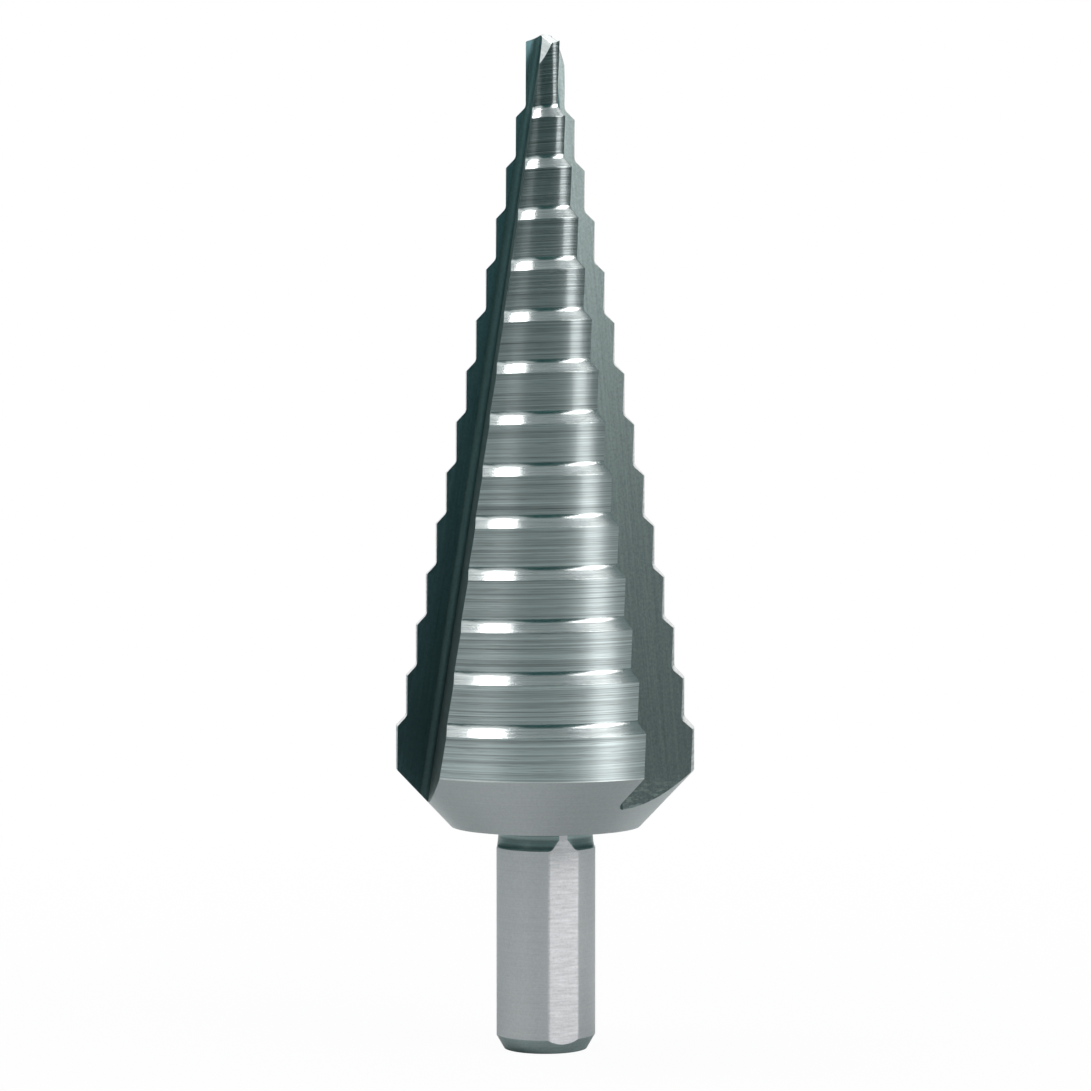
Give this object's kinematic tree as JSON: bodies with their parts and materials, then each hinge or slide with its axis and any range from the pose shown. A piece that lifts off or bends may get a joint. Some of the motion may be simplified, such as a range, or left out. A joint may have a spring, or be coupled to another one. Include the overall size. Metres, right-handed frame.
{
  "type": "step drill",
  "caption": "Stepped conical drill bit with straight flutes, relief-ground steps, a pointed pilot tip and a round shank with flats, for drilling and widening holes in sheet metal.",
  "frame": {"origin": "centre of the flat end face of the shank, where the tool stands", "axes": "+Z along the tool's axis of rotation towards the point; -Y is the side that the picture shows; the tool turns clockwise seen from the shank"},
  "size_m": [0.0299, 0.0292, 0.1015],
  "materials": {
    "ground_steel": "ground bright, fine grinding lines around the axis"
  },
  "bodies": {
    "root": {"step_drill": "ground_steel"}
  },
  "joints": []
}
